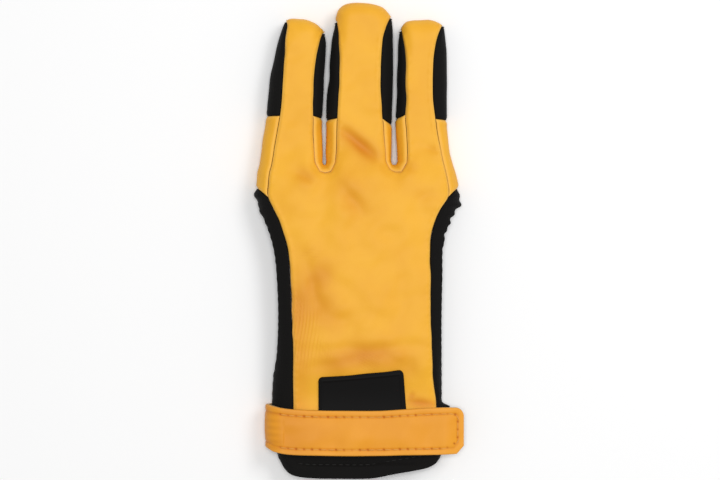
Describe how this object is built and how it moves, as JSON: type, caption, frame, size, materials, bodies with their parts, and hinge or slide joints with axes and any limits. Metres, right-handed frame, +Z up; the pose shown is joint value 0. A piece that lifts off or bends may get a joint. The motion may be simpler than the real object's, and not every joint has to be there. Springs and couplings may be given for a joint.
{
  "type": "archery glove",
  "caption": "Archery finger glove laid flat: tan leather face over the finger stalls, black stretch back, gathered side openings, a cuff and a wrist strap with a free tongue.",
  "frame": {"origin": "centre of the glove's box, on the surface that its back rests on", "axes": "+Y from the cuff to the fingertips, +X to the index finger's side, +Z up out of the leather face"},
  "size_m": [0.1008, 0.2287, 0.0197],
  "materials": {
    "tan_leather": "smooth tan grain leather with a soft sheen",
    "strap_leather": "tan leather, stitched near its edges",
    "stretch_fabric": "matte black knitted stretch fabric",
    "hem_fabric": "black gathered elastic binding",
    "hook_tape": "black hook tape",
    "label_rubber": "matte black patch, bare"
  },
  "bodies": {
    "root": {"face_panel": "tan_leather", "fourchette_ring_middle": "tan_leather", "fourchette_middle_index": "tan_leather", "side_panel_ring": "tan_leather", "side_panel_index": "tan_leather", "wrist_strap": "strap_leather", "back_panel": "stretch_fabric", "thumb_hem": "hem_fabric", "little_finger_hem": "hem_fabric", "cuff": "stretch_fabric", "label_patch": "label_rubber", "hook_loop_patch": "hook_tape"}
  },
  "joints": []
}
